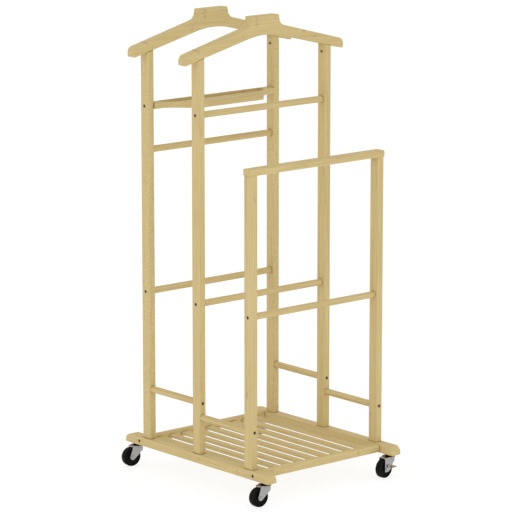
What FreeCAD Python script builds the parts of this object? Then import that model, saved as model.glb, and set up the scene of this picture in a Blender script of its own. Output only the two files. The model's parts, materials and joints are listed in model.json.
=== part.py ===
"""Pine valet stand on four casters: three post frames on a slatted base.

Millimetres. The origin is on the floor under the middle of the stand. +Z is up, +X runs along the
coat hangers, and the low frame stands at the front, on the -Y side.
"""
import FreeCAD, Part
import Sketcher
import math
import os

# ---- driving dimensions ------------------------------------------------------------------------

DIMENSIONS = {
    # base
    "rail_length": 483.0, "rail_width": 26.0, "rail_height": 19.0, "rail_underside": 52.0,
    "rail_spacing": 360.0, "rail_end_round": 15.0, "rail_edge_round": 0.8,
    "cross_offset": 193.5, "cross_depth": 18.0, "cross_round": 7.5,
    "slat_count": 9, "slat_pitch": 35.3, "slat_drop": 6.8, "slat_width": 16.5, "slat_thickness": 6.2,
    "slat_round": 0.6, "slat_shoulder": 1.2, "slot_depth": 6.0, "slat_end_gap": 0.3, "slat_side_gap": 0.2,
    # posts
    "frame_pitch": 172.7, "post_width": 17.0, "post_depth": 25.0, "post_round": 2.0,
    "front_post_top": 708.0, "top_rail_length": 383.0, "top_rail_height": 14.0,
    "top_rail_depth": 26.0, "top_rail_round": 3.0,
    # coat hangers, half of the outline from the middle outwards
    "hanger_width": 450.0, "hanger_thickness": 24.0, "hanger_top": 1014.0, "hanger_round": 2.0,
    "neck_half": 38.7, "neck_corner": 2.5, "neck_foot_x": 40.2, "neck_foot_z": 1003.3,
    "flare_x": 53.4, "flare_z": 989.3, "flare_round": 18.0,
    "arm_end_x": 215.3, "arm_end_z": 947.3, "tip_round": 13.0,
    "tip_upper_z": 934.8, "tip_lower_z": 927.4, "heel_x": 221.3, "heel_z": 924.5, "heel_round": 3.0,
    "arch_x": 50.0, "arch_z": 966.2, "arch_round": 211.4,
    # round bars and rungs
    "bar_radius": 7.25, "bar_low": 403.0, "bar_back_high": 718.0, "bar_middle_high": 814.5,
    "rung_back": 184.0, "rung_front": 152.5, "socket_depth": 8.0, "socket_gap": 0.05,
    # valet tray
    "tray_middle": 814.5, "tray_thickness": 13.0, "tray_back": 10.7, "tray_end_front": 16.5,
    "tray_reach": 68.5, "tray_bend_x": 152.5, "tray_bend_round": 17.7,
    "tray_flare_x": 143.5, "tray_flare_y": 19.0, "tray_flare_round": 128.0, "tray_corner_x": 94.5,
    "tray_corner_round": 4.0, "tray_edge_round": 1.2, "trough_depth": 8.0, "trough_back": 6.5,
    "trough_front": 27.0, "trough_half_back": 147.0, "trough_shoulder": 5.0,
    "trough_half_front": 111.0, "trough_side_round": 45.0, "trough_corner_round": 5.0,
    # screws
    "screw_radius": 2.25, "screw_head": 3.7, "screw_head_depth": 2.6, "screw_length": 48.0,
    "socket_radius": 1.9, "socket_sink": 1.8, "screw_gap": 0.05,
    "hanger_screw_radius": 1.75, "hanger_screw_head": 3.3, "hanger_screw_length": 40.0,
    "hanger_screw_z": 917.5, "hanger_screw_angle": 60.0, "hanger_screw_sink": 4.0,
    "foot_screw_length": 55.0, "tray_screw_length": 35.0, "dowel_radius": 3.0, "dowel_length": 20.0,
    # casters
    "caster_y": 217.5, "caster_trail": 16.0, "wheel_radius": 21.3, "wheel_half": 6.8,
    "hub_half": 7.1, "hub_radius": 4.2, "tread_round": 1.6, "web_half": 4.8, "rim_radius": 18.2,
    "axle_radius": 2.5, "running_gap": 0.05, "axle_head": 3.4, "axle_head_height": 1.2,
    "fork_gap": 7.4, "fork_thickness": 1.8, "fork_bend_round": 1.6, "fork_back": 14.7, "fork_front": 10.2,
    "fork_knee_x": 9.4, "fork_knee_z": 35.0, "fork_foot_round": 6.6, "fork_end_x": 12.5,
    "braked_fork_back": 21.5, "plate_high_z": 27.0, "plate_low_x": 1.0, "plate_low_z": 20.5,
    "plate_foot_x": 10.7, "plate_foot_z": 13.8, "plate_round": 1.5,
    "crown_radius": 14.5, "crown_bottom": 44.4, "crown_top": 46.2,
    "race_foot_radius": 8.5, "race_top_radius": 6.8, "race_top": 49.2,
    "stem_radius": 4.0, "stem_shank": 15.0, "stem_flange_radius": 7.5, "stem_flange_bottom": 49.8,
    "stem_head_radius": 5.5, "stem_head_bottom": 42.9, "stem_head_top": 44.1, "stem_point": 0.8,
    # brake levers, from the axle
    "pivot_x": 3.0, "pivot_z": 6.2, "pivot_radius": 1.6, "pivot_head": 2.5, "pivot_head_height": 0.9,
    "pivot_inner_head": 2.2, "pivot_inner_height": 0.7, "lever_gap": 0.3, "lever_plate": 1.2,
    "lever_eye": 3.0, "lever_hole_x": 13.5, "lever_hole_z": 2.6, "lever_hole_radius": 2.1,
    "pedal_inner": 22.9, "pedal_outer": 32.0, "lever_round": 2.0,
}

doc = FreeCAD.newDocument("valet_stand")
sheet = doc.addObject("Spreadsheet::Sheet", "Dimensions")
for row, (alias, amount) in enumerate(DIMENSIONS.items(), start=1):
    sheet.set(f"A{row}", alias.replace("_", " "))
    sheet.set(f"B{row}", str(amount))
    sheet.setAlias(f"B{row}", alias)
doc.recompute()

# every sub-part that is written out, label to document object
sub_parts = {}


class Size:
    """A number with the sheet expression that gives it, so that both stay together."""

    def __init__(self, number, text):
        self.number = float(number)
        self.text = text

    def _join(self, other, sign, number):
        other_text = other.text if isinstance(other, Size) else repr(float(other))
        return Size(number, f"({self.text} {sign} {other_text})")

    def __add__(self, other):
        return self._join(other, "+", self.number + float(other))

    def __sub__(self, other):
        return self._join(other, "-", self.number - float(other))

    def __mul__(self, other):
        return self._join(other, "*", self.number * float(other))

    def __truediv__(self, other):
        return self._join(other, "/", self.number / float(other))

    def __neg__(self):
        return self * -1

    def __float__(self):
        return self.number


def dim(alias):
    """The driving dimension with this alias."""
    return Size(DIMENSIONS[alias], f"Dimensions.{alias}")


ZERO = Size(0, "0")
ONE = Size(1, "1")


# ---- how a sub-part is made ----------------------------------------------------------------------

def bind(target, **sizes):
    """Give each named property of a feature its size, bound to the sheet."""
    for name, size in sizes.items():
        setattr(target, name, float(size))
        target.setExpression(name, size.text)


def place(target, x=ZERO, y=ZERO, z=ZERO, rotation=None):
    """Put a feature or a sub-part where the sheet says, turned by a fixed rotation."""
    rotation = rotation or FreeCAD.Rotation()
    target.Placement = FreeCAD.Placement(FreeCAD.Vector(float(x), float(y), float(z)), rotation)
    for axis, size in (("x", x), ("y", y), ("z", z)):
        target.setExpression(f"Placement.Base.{axis}", size.text)


def new_body(label, x=ZERO, y=ZERO, z=ZERO, rotation=None):
    """A sub-part that is one PartDesign body, placed in the stand."""
    body = doc.addObject("PartDesign::Body", label)
    body.Label = label
    place(body, x, y, z, rotation)
    sub_parts[label] = body
    return body


def turned(axis, degrees):
    return FreeCAD.Rotation(FreeCAD.Vector(*axis), degrees)


# turns a feature whose own length runs along +Z so that it runs along the named direction
ALONG = {
    "+Z": FreeCAD.Rotation(), "-Z": turned((1, 0, 0), 180),
    "+X": turned((0, 1, 0), 90), "-X": turned((0, 1, 0), -90),
    "+Y": turned((1, 0, 0), -90), "-Y": turned((1, 0, 0), 90),
}


def round_feature(body, kind, name, at, along, radius, length):
    """Add or cut a cylinder that starts at a point and runs along a direction."""
    feature = body.newObject(f"PartDesign::{kind}Cylinder", name)
    rotation = ALONG[along] if isinstance(along, str) else along
    place(feature, *at, rotation)
    bind(feature, Radius=radius, Height=length)


def countersink(body, name, at, along, wide, narrow, depth):
    """Cut the cone that a countersunk head sits in."""
    cone = body.newObject("PartDesign::SubtractiveCone", name)
    place(cone, *at, ALONG[along])
    bind(cone, Radius1=wide, Radius2=narrow, Height=depth)


def arc_between(start, end, radius, side):
    """The arc from start to end that bulges to the left (+1) or right (-1) of the way it goes."""
    chord = (end - start).Length
    across = FreeCAD.Vector(-(end - start).y, (end - start).x, 0) / chord
    drop = math.sqrt(max(radius ** 2 - (chord / 2) ** 2, 0))
    centre = (start + end) / 2 - across * drop * side
    circle = Part.Circle(centre, FreeCAD.Vector(0, 0, 1), radius)
    first, last = (end, start) if side > 0 else (start, end)
    angles = [math.atan2(p.y - centre.y, p.x - centre.x) for p in (first, last)]
    return Part.ArcOfCircle(circle, angles[0], angles[1])


def outline(body, name, plane, corners):
    """A closed sketch. Each corner is (x, y) or (x, y, radius, side) for an arc to the next one."""
    sketch = body.newObject("Sketcher::SketchObject", name)
    support = [o for o in body.Origin.OriginFeatures if o.Role == plane][0]
    sketch.AttachmentSupport = [(support, "")]
    sketch.MapMode = "FlatFace"
    points = [FreeCAD.Vector(float(c[0]), float(c[1]), 0) for c in corners]
    ends = []
    for index, corner in enumerate(corners):
        start, end = points[index], points[(index + 1) % len(points)]
        if len(corner) == 2:
            sketch.addGeometry(Part.LineSegment(start, end))
            ends.append((1, 2))
        else:
            sketch.addGeometry(arc_between(start, end, float(corner[2]), corner[3]))
            ends.append((2, 1) if corner[3] > 0 else (1, 2))
    for index in range(len(corners)):
        after = (index + 1) % len(corners)
        joined = Sketcher.Constraint("Coincident", index, ends[index][1], after, ends[after][0])
        sketch.addConstraint(joined)
    for index, corner in enumerate(corners):
        for kind, size in (("DistanceX", corner[0]), ("DistanceY", corner[1])):
            held = Sketcher.Constraint(kind, -1, 1, index, ends[index][0], float(size))
            sketch.setExpression(f"Constraints[{sketch.addConstraint(held)}]", size.text)
        if len(corner) > 2:
            held = Sketcher.Constraint("Radius", index, float(corner[2]))
            sketch.setExpression(f"Constraints[{sketch.addConstraint(held)}]", corner[2].text)
    return sketch


def pad(body, name, sketch, length, side="Symmetric"):
    feature = body.newObject("PartDesign::Pad", name)
    feature.Profile = sketch
    feature.SideType = side
    bind(feature, Length=length)
    sketch.Visibility = False


def pocket(body, name, sketch, length, side="One side"):
    feature = body.newObject("PartDesign::Pocket", name)
    feature.Profile = sketch
    feature.SideType = side
    bind(feature, Length=length)
    sketch.Visibility = False


def round_edges(body, name, radius, wanted):
    """Round the edges of the body's last feature that the test picks."""
    doc.recompute()
    base = body.Tip
    names = [f"Edge{i}" for i, edge in enumerate(base.Shape.Edges, start=1) if wanted(edge)]
    feature = body.newObject("PartDesign::Fillet", name)
    feature.Base = (base, names)
    bind(feature, Radius=radius)


def chamfer_edges(body, name, size, wanted):
    """Cut a 45 degree chamfer on the edges of the body's last feature that the test picks."""
    doc.recompute()
    base = body.Tip
    names = [f"Edge{i}" for i, edge in enumerate(base.Shape.Edges, start=1) if wanted(edge)]
    feature = body.newObject("PartDesign::Chamfer", name)
    feature.Base = (base, names)
    bind(feature, Size=size)


def runs_along(edge, axis, shortest):
    """True for a straight edge along an axis that is at least so long."""
    ends = [vertex.Point for vertex in edge.Vertexes]
    if len(ends) != 2:
        return False
    run = ends[1] - ends[0]
    return run.Length >= shortest and abs(abs(run[axis]) - run.Length) < 1e-3


def lies_at(edge, axis, places):
    """True for an edge that lies wholly in one of the planes at these places along an axis."""
    box = edge.BoundBox
    low, high = ((box.XMin, box.XMax), (box.YMin, box.YMax), (box.ZMin, box.ZMax))[axis]
    return any(abs(low - p) < 1e-3 and abs(high - p) < 1e-3 for p in places)


# ---- heights and places worked out from the driving dimensions --------------------------------------

RAIL_TOP = dim("rail_underside") + dim("rail_height")
SLAT_FLOOR = RAIL_TOP - dim("slat_drop") - dim("slat_thickness")
POST_X = dim("rail_spacing") / 2
FRAMES = {"back": dim("frame_pitch"), "middle": ZERO, "front": -dim("frame_pitch")}
SIDES = {"left": -1, "right": 1}
BAR_SPAN = dim("rail_spacing") - dim("post_width")
RUNG_SPAN = dim("frame_pitch") - dim("post_depth")
SCREW_HOLE = dim("screw_radius") + dim("screw_gap")
HEAD_HOLE = dim("screw_head") + dim("screw_gap")


# what is screwed to each frame's posts from outside, and how high
SCREWED_BARS = {
    "back": {"tray": dim("tray_middle"), "low_bar": dim("bar_low")},
    "middle": {"high_bar": dim("bar_middle_high"), "low_bar": dim("bar_low")},
    "front": {"low_bar": dim("bar_low")},
}
# each rung's screws go in from the far faces: name, height, and the face on the +Y or -Y side
SCREWED_RUNGS = {
    "back": [("rung_back", dim("rung_back"), 1)],
    "middle": [("rung_back", dim("rung_back"), -1), ("rung_front", dim("rung_front"), 1)],
    "front": [("rung_front", dim("rung_front"), -1)],
}


def slat_x(number):
    """Where a slat lies between the runners. They are numbered from the left."""
    return dim("slat_pitch") * (number - 1) - dim("slat_pitch") * (DIMENSIONS["slat_count"] - 1) / 2


def slanted(sign):
    """The direction of a screw that goes up and outwards through a post into a coat hanger."""
    return turned((0, 1, 0), (90 - DIMENSIONS["hanger_screw_angle"]) * sign)


def hanger_underside(x):
    """Height of a coat hanger's straight lower edge at a distance from its middle."""
    fall = (dim("arch_z") - dim("heel_z")) / (dim("heel_x") - dim("arch_x"))
    return dim("arch_z") - fall * (x - dim("arch_x"))


# ---- base --------------------------------------------------------------------------------------------

def side_rail(side):
    """A runner: the posts stand on it and the casters' stems go up into it."""
    sign = SIDES[side]
    body = new_body(f"side_rail_{side}", POST_X * sign, ZERO, dim("rail_underside"))
    half, high = dim("rail_length") / 2, dim("rail_height")
    profile = outline(body, "profile", "YZ_Plane", [(-half, ZERO), (half, ZERO), (half, high), (-half, high)])
    pad(body, "runner", profile, dim("rail_width"))
    round_edges(body, "rounded_ends", dim("rail_end_round"),
                lambda e: runs_along(e, 0, 5) and e.CenterOfMass.z > float(high) - 1)
    round_edges(body, "eased_edges", dim("rail_edge_round"),
                lambda e: lies_at(e, 0, (-float(dim("rail_width")) / 2, float(dim("rail_width")) / 2)))
    for place_name, y in (("front", -dim("caster_y")), ("back", dim("caster_y"))):
        round_feature(body, "Subtractive", f"stem_bore_{place_name}", (ZERO, y, -ONE), "+Z",
                      dim("stem_radius") + dim("screw_gap"), dim("stem_shank") + 2)
    for frame, y in FRAMES.items():
        round_feature(body, "Subtractive", f"foot_hole_{frame}", (ZERO, y, -ONE), "+Z", SCREW_HOLE, high + 2)
        countersink(body, f"foot_sink_{frame}", (ZERO, y, ZERO), "+Z",
                    HEAD_HOLE, SCREW_HOLE, dim("screw_head_depth"))
    inward = "-X" if sign > 0 else "+X"
    outer = dim("rail_width") / 2 * sign
    for end, y in (("front", -dim("cross_offset")), ("back", dim("cross_offset"))):
        at = (outer, y, high / 2)
        round_feature(body, "Subtractive", f"cross_hole_{end}", at, inward, SCREW_HOLE, dim("rail_width") + 1)
        countersink(body, f"cross_sink_{end}", at, inward, HEAD_HOLE, SCREW_HOLE, dim("screw_head_depth"))


def cross_member(end, sign):
    """A round-edged batten between the runners, with a slot inside for the end of each slat."""
    high = dim("rail_height")
    body = new_body(f"cross_member_{end}", ZERO, dim("cross_offset") * sign, dim("rail_underside"))
    outside, inside = dim("cross_depth") / 2 * sign, -dim("cross_depth") / 2 * sign
    corners = [(inside, ZERO), (outside, ZERO), (outside, high), (inside, high)]
    profile = outline(body, "profile", "YZ_Plane", corners)
    pad(body, "batten", profile, dim("rail_spacing") - dim("rail_width"))
    round_edges(body, "rounded_edges", dim("cross_round"), lambda e: runs_along(e, 0, 50))
    low = SLAT_FLOOR - dim("rail_underside")
    for number in range(1, DIMENSIONS["slat_count"] + 1):
        slot = body.newObject("PartDesign::SubtractiveBox", f"slot_{number:02d}")
        start = inside if sign > 0 else inside - dim("slot_depth")
        place(slot, slat_x(number) - dim("slat_width") / 2 - dim("slat_side_gap"), start, low)
        bind(slot, Length=dim("slat_width") + dim("slat_side_gap") * 2, Width=dim("slot_depth"),
             Height=dim("slat_thickness") - dim("slat_shoulder") + dim("slat_side_gap"))
    bore = dim("screw_length") - dim("rail_width") + 3
    for side, sense in SIDES.items():
        at = ((dim("rail_spacing") - dim("rail_width")) / 2 * sense, ZERO, high / 2)
        round_feature(body, "Subtractive", f"pilot_{side}", at, "-X" if sense > 0 else "+X", SCREW_HOLE, bore)


def slat(number):
    """One thin slat of the shoe shelf, with a tongue at each end that goes into a batten's slot."""
    between = (dim("cross_offset") - dim("cross_depth") / 2 - dim("slat_end_gap")) * 2
    body = new_body(f"slat_{number:02d}", slat_x(number), ZERO, SLAT_FLOOR)
    half, high = dim("slat_width") / 2, dim("slat_thickness")
    low = high - dim("slat_shoulder")
    tongue = outline(body, "tongue_profile", "XZ_Plane",
                     [(-half, ZERO), (half, ZERO), (half, low), (-half, low)])
    pad(body, "tongues", tongue, between + dim("slot_depth") * 2)
    profile = outline(body, "profile", "XZ_Plane", [(-half, ZERO), (half, ZERO), (half, high), (-half, high)])
    pad(body, "strip", profile, between)
    round_edges(body, "eased_edges", dim("slat_round"), lambda e: runs_along(e, 1, 50))


# ---- posts -------------------------------------------------------------------------------------------

def post(frame, side):
    """An upright. The two tall pairs are cut to the slope under the coat hangers."""
    sign = SIDES[side]
    y = FRAMES[frame]
    body = new_body(f"post_{frame}_{side}", POST_X * sign, y, RAIL_TOP)
    half = dim("post_width") / 2
    if frame == "front":
        inner_top = outer_top = dim("front_post_top") - RAIL_TOP
    else:
        inner_top = hanger_underside(POST_X - half) - RAIL_TOP
        outer_top = hanger_underside(POST_X + half) - RAIL_TOP
    left_top, right_top = (inner_top, outer_top) if sign > 0 else (outer_top, inner_top)
    corners = [(-half, ZERO), (half, ZERO), (half, right_top), (-half, left_top)]
    pad(body, "upright", outline(body, "profile", "XZ_Plane", corners), dim("post_depth"))
    round_edges(body, "eased_edges", dim("post_round"), lambda e: runs_along(e, 2, 100))
    round_feature(body, "Subtractive", "foot_pilot", (ZERO, ZERO, ZERO), "+Z", SCREW_HOLE,
                  dim("foot_screw_length") - dim("rail_height") + 3)
    inward = "-X" if sign > 0 else "+X"
    for name, height in SCREWED_BARS[frame].items():
        at = (half * sign, ZERO, height - RAIL_TOP)
        round_feature(body, "Subtractive", f"{name}_hole", at, inward, SCREW_HOLE, dim("post_width"))
        countersink(body, f"{name}_sink", at, inward, HEAD_HOLE, SCREW_HOLE, dim("screw_head_depth"))
    if frame == "back":
        at = (-half * sign, ZERO, dim("bar_back_high") - RAIL_TOP)
        round_feature(body, "Subtractive", "bar_socket", at, "+X" if sign > 0 else "-X",
                      dim("bar_radius") + dim("socket_gap"), dim("socket_depth") + dim("socket_gap"))
    for name, height, face in SCREWED_RUNGS[frame]:
        at = (ZERO, dim("post_depth") / 2 * face, height - RAIL_TOP)
        along = "-Y" if face > 0 else "+Y"
        round_feature(body, "Subtractive", f"{name}_hole", at, along, SCREW_HOLE, dim("post_depth"))
        countersink(body, f"{name}_sink", at, along, HEAD_HOLE, SCREW_HOLE, dim("screw_head_depth"))
    if frame == "front":
        at = (ZERO, ZERO, inner_top)
        round_feature(body, "Subtractive", "dowel_hole", at, "-Z",
                      dim("dowel_radius") + dim("screw_gap"), dim("dowel_length") / 2 + 0.5)
    else:
        at = (-half * sign, ZERO, dim("hanger_screw_z") - RAIL_TOP)
        round_feature(body, "Subtractive", "hanger_hole", at, slanted(sign),
                      dim("hanger_screw_radius") + dim("screw_gap"), dim("hanger_screw_length"))
        round_feature(body, "Subtractive", "hanger_sink", at, slanted(sign),
                      dim("hanger_screw_head") + dim("screw_gap"), dim("hanger_screw_sink"))


def front_top_rail():
    """The cap of the low frame, which trousers hang over."""
    body = new_body("front_top_rail", ZERO, FRAMES["front"], dim("front_post_top"))
    half, high = dim("top_rail_length") / 2, dim("top_rail_height")
    profile = outline(body, "profile", "XZ_Plane", [(-half, ZERO), (half, ZERO), (half, high), (-half, high)])
    pad(body, "cap", profile, dim("top_rail_depth"))
    round_edges(body, "rounded_edges", dim("top_rail_round"), lambda e: e.CenterOfMass.z > 1)
    for side, sign in SIDES.items():
        round_feature(body, "Subtractive", f"dowel_hole_{side}", (POST_X * sign, ZERO, -ONE), "+Z",
                      dim("dowel_radius") + dim("screw_gap"), dim("dowel_length") / 2 + 1.5)


# ---- coat hangers and tray ------------------------------------------------------------------------------

def coat_hanger(frame):
    """A shouldered board: a square neck, flared into sloping arms over an arched underside."""
    body = new_body(f"coat_hanger_{frame}", ZERO, FRAMES[frame], ZERO)
    top, corner = dim("hanger_top"), dim("neck_corner")
    tip = dim("hanger_width") / 2
    right = [
        (dim("neck_half") - corner, top, corner, 1),
        (dim("neck_half"), top - corner),
        (dim("neck_foot_x"), dim("neck_foot_z"), dim("flare_round"), -1),
        (dim("flare_x"), dim("flare_z")),
        (dim("arm_end_x"), dim("arm_end_z"), dim("tip_round"), 1),
        (tip, dim("tip_upper_z")),
        (tip, dim("tip_lower_z"), dim("heel_round"), 1),
        (dim("heel_x"), dim("heel_z")),
        (dim("arch_x"), dim("arch_z"), dim("arch_round"), -1),
    ]
    # the left half is the right half read backwards, and an arc belongs to the corner it leaves
    left = []
    for index in range(len(right) - 1, -1, -1):
        mirrored = (-right[index][0], right[index][1])
        arc = right[index - 1][2:] if index > 0 else ()
        left.append(mirrored + tuple(arc))
    pad(body, "board", outline(body, "profile", "XZ_Plane", right + left), dim("hanger_thickness"))
    half = float(dim("hanger_thickness")) / 2
    round_edges(body, "rounded_edges", dim("hanger_round"), lambda e: lies_at(e, 1, (-half, half)))
    for side, sign in SIDES.items():
        at = ((POST_X - dim("post_width") / 2) * sign, ZERO, dim("hanger_screw_z"))
        round_feature(body, "Subtractive", f"screw_hole_{side}", at, slanted(sign),
                      dim("hanger_screw_radius") + dim("screw_gap"), dim("hanger_screw_length") - 2)


def valet_tray():
    """The small-things tray: narrow ends between the back posts, a wide middle with a trough in it."""
    thick = dim("tray_thickness")
    body = new_body("valet_tray", ZERO, FRAMES["back"], dim("tray_middle") - thick / 2)
    end, back, front = BAR_SPAN / 2, dim("tray_back"), -dim("tray_reach")
    shoulder, bend, corner = -dim("tray_end_front"), dim("tray_bend_x"), dim("tray_corner_x")
    flare_x, flare_y = dim("tray_flare_x"), -dim("tray_flare_y")
    tight, wide = dim("tray_bend_round"), dim("tray_flare_round")
    board = outline(body, "outline", "XY_Plane", [
        (end, back), (end, shoulder), (bend, shoulder, tight, -1), (flare_x, flare_y, wide, -1),
        (corner, front), (-corner, front, wide, -1), (-flare_x, flare_y, tight, -1),
        (-bend, shoulder), (-end, shoulder), (-end, back)])
    pad(body, "board", board, thick, "One side")
    round_edges(body, "rounded_corners", dim("tray_corner_round"),
                lambda e: runs_along(e, 2, 5) and abs(e.CenterOfMass.y - float(front)) < 1e-3)
    round_edges(body, "eased_edges", dim("tray_edge_round"),
                lambda e: lies_at(e, 2, (0.0, float(thick))) and abs(e.CenterOfMass.x) < float(end) - 1)
    far, near = dim("trough_half_back"), dim("trough_half_front")
    turn, side_round = -dim("trough_shoulder"), dim("trough_side_round")
    mouth = outline(body, "trough_mouth", "XY_Plane", [
        (far, dim("trough_back")), (far, turn, side_round, 1), (near, -dim("trough_front")),
        (-near, -dim("trough_front"), side_round, 1), (-far, turn), (-far, dim("trough_back"))])
    mouth.AttachmentOffset = FreeCAD.Placement(FreeCAD.Vector(0, 0, float(thick)), FreeCAD.Rotation())
    mouth.setExpression("AttachmentOffset.Base.z", thick.text)
    pocket(body, "trough", mouth, dim("trough_depth"))
    round_edges(body, "trough_corners", dim("trough_corner_round"),
                lambda e: runs_along(e, 2, 5)
                and abs(e.CenterOfMass.y - float(dim("trough_back"))) < 1e-3)
    for side, sign in SIDES.items():
        round_feature(body, "Subtractive", f"pilot_{side}", (end * sign, ZERO, thick / 2),
                      "-X" if sign > 0 else "+X", SCREW_HOLE,
                      dim("tray_screw_length") - dim("post_width") + 1)


# ---- round bars and rungs -----------------------------------------------------------------------------

def round_rod(label, start, along, length, pilot=None):
    """A turned rod, drilled in the end grain as deep as the pilot where a screw holds it."""
    body = new_body(label, *start, ALONG[along])
    round_feature(body, "Additive", "rod", (ZERO, ZERO, ZERO), "+Z", dim("bar_radius"), length)
    if pilot is None:
        return
    round_feature(body, "Subtractive", "pilot_start", (ZERO, ZERO, ZERO), "+Z", SCREW_HOLE, pilot)
    round_feature(body, "Subtractive", "pilot_end", (ZERO, ZERO, length), "-Z", SCREW_HOLE, pilot)


def trouser_bars():
    """Five bars across the frames. The upper back one sits in sockets and has no screws."""
    start = -BAR_SPAN / 2
    pilot = dim("screw_length") - dim("post_width") + 1
    for label, frame, height in (("upper_bar_middle", "middle", dim("bar_middle_high")),
                                 ("lower_bar_back", "back", dim("bar_low")),
                                 ("lower_bar_middle", "middle", dim("bar_low")),
                                 ("lower_bar_front", "front", dim("bar_low"))):
        round_rod(label, (start, FRAMES[frame], height), "+X", BAR_SPAN, pilot)
    reach = dim("socket_depth")
    round_rod("upper_bar_back", (start - reach, FRAMES["back"], dim("bar_back_high")), "+X",
              BAR_SPAN + reach * 2)


def side_rungs():
    """Four short rungs that tie the frames together from front to back."""
    pilot = dim("screw_length") - dim("post_depth") + 1
    for side, sign in SIDES.items():
        for bay, y, height in (("back", dim("post_depth") / 2, dim("rung_back")),
                               ("front", dim("post_depth") / 2 - dim("frame_pitch"), dim("rung_front"))):
            round_rod(f"rung_{bay}_{side}", (POST_X * sign, y, height), "+Y", RUNG_SPAN, pilot)


# ---- fasteners -------------------------------------------------------------------------------------------

def screw_shape(length, shank, head, sink):
    """A countersunk furniture screw, head at the origin and shank along +Z, with a hexagon socket."""
    cone = Part.makeCone(head, shank, sink)
    stem = Part.makeCylinder(shank, length - shank)
    point = Part.makeCone(shank, shank * 0.25, shank, FreeCAD.Vector(0, 0, length - shank))
    socket = float(dim("socket_radius")) * head / float(dim("screw_head"))
    hexagon = Part.makePolygon([FreeCAD.Vector(socket * math.cos(math.radians(a)),
                                               socket * math.sin(math.radians(a)), 0)
                                for a in range(0, 361, 60)])
    recess = Part.Face(hexagon).extrude(FreeCAD.Vector(0, 0, float(dim("socket_sink"))))
    return cone.fuse([stem, point]).removeSplitter().cut(recess)


def fastener_group(label, shape, places):
    """One node of identical fasteners: the same solid at each place."""
    solids = []
    for at, rotation in places:
        solid = shape.copy()
        solid.Placement = FreeCAD.Placement(FreeCAD.Vector(*[float(v) for v in at]), rotation)
        solids.append(solid)
    group = doc.addObject("Part::Feature", label)
    group.Label = label
    group.Shape = Part.makeCompound(solids)
    group.Placement = FreeCAD.Placement()
    sub_parts[label] = group


def long_screw(length):
    return screw_shape(float(length), float(dim("screw_radius")), float(dim("screw_head")),
                       float(dim("screw_head_depth")))


def fasteners():
    """Every screw and dowel that holds the stand together, grouped by what it fixes."""
    outer = POST_X + dim("post_width") / 2
    bars, trays, hangers, feet, dowels = [], [], [], [], []
    for side, sign in SIDES.items():
        inward = ALONG["-X" if sign > 0 else "+X"]
        for frame, heights in SCREWED_BARS.items():
            for name, height in heights.items():
                target = trays if name == "tray" else bars
                target.append(((outer * sign, FRAMES[frame], height), inward))
        for frame in ("back", "middle"):
            at = ((POST_X - dim("post_width") / 2) * sign, FRAMES[frame], dim("hanger_screw_z"))
            way = slanted(sign)
            lift = way.multVec(FreeCAD.Vector(0, 0, 1.2))
            hangers.append((tuple(float(v) + d for v, d in zip(at, lift)), way))
        for frame in FRAMES:
            feet.append(((POST_X * sign, FRAMES[frame], dim("rail_underside")), ALONG["+Z"]))
        dowels.append(((POST_X * sign, FRAMES["front"],
                        dim("front_post_top") - dim("dowel_length") / 2), ALONG["+Z"]))
    fastener_group("bar_screws", long_screw(dim("screw_length")), bars)
    fastener_group("tray_screws", long_screw(dim("tray_screw_length")), trays)
    fastener_group("post_foot_screws", long_screw(dim("foot_screw_length")), feet)
    fastener_group("hanger_screws", screw_shape(
        float(dim("hanger_screw_length")) - 4, float(dim("hanger_screw_radius")),
        float(dim("hanger_screw_head")), 2.0), hangers)
    fastener_group("top_rail_dowels", Part.makeCylinder(
        float(dim("dowel_radius")), float(dim("dowel_length"))), dowels)
    rungs, crosses = [], []
    for side, sign in SIDES.items():
        for frame, holes in SCREWED_RUNGS.items():
            for name, height, face in holes:
                at = (POST_X * sign, FRAMES[frame] + dim("post_depth") / 2 * face, height)
                rungs.append((at, ALONG["-Y" if face > 0 else "+Y"]))
        for y in (-dim("cross_offset"), dim("cross_offset")):
            at = ((POST_X + dim("rail_width") / 2) * sign, y, dim("rail_underside") + dim("rail_height") / 2)
            crosses.append((at, ALONG["-X" if sign > 0 else "+X"]))
    fastener_group("rung_screws", long_screw(dim("screw_length")), rungs)
    fastener_group("cross_member_screws", long_screw(dim("screw_length")), crosses)


# ---- casters -----------------------------------------------------------------------------------------

# each caster: side, end, how far its fork is turned about +Z at rest, and whether it has a brake
CASTERS = {
    "front_left": (-1, -1, -4.0, False),
    "front_right": (1, -1, 6.0, True),
    "back_left": (-1, 1, -8.0, False),
    "back_right": (1, 1, 3.0, True),
}
FORK_FACE = dim("fork_gap") + dim("fork_thickness")


def swivel_place(caster, ahead=ZERO):
    """The point on the swivel axis, or that far along the caster's own forward direction."""
    side, end, yaw, _ = CASTERS[caster]
    x = POST_X * side + ahead * math.cos(math.radians(yaw))
    y = dim("caster_y") * end + ahead * math.sin(math.radians(yaw))
    return x, y, turned((0, 0, 1), yaw)


def caster_stem(caster):
    """The pin the fork turns on: a shank up into the runner, a flange under it, a riveted head."""
    x, y, turn = swivel_place(caster)
    body = new_body(f"caster_{caster}_stem", x, y, ZERO, turn)
    low, under = dim("stem_head_bottom"), dim("rail_underside")
    round_feature(body, "Additive", "pin", (ZERO, ZERO, low), "+Z",
                  dim("stem_radius"), under + dim("stem_shank") - low)
    tip = float(under + dim("stem_shank"))
    chamfer_edges(body, "point", dim("stem_point"), lambda e: lies_at(e, 2, (tip,)))
    round_feature(body, "Additive", "flange", (ZERO, ZERO, dim("stem_flange_bottom")), "+Z",
                  dim("stem_flange_radius"), under - dim("stem_flange_bottom"))
    round_feature(body, "Additive", "riveted_head", (ZERO, ZERO, low), "+Z",
                  dim("stem_head_radius"), dim("stem_head_top") - low)


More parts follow.
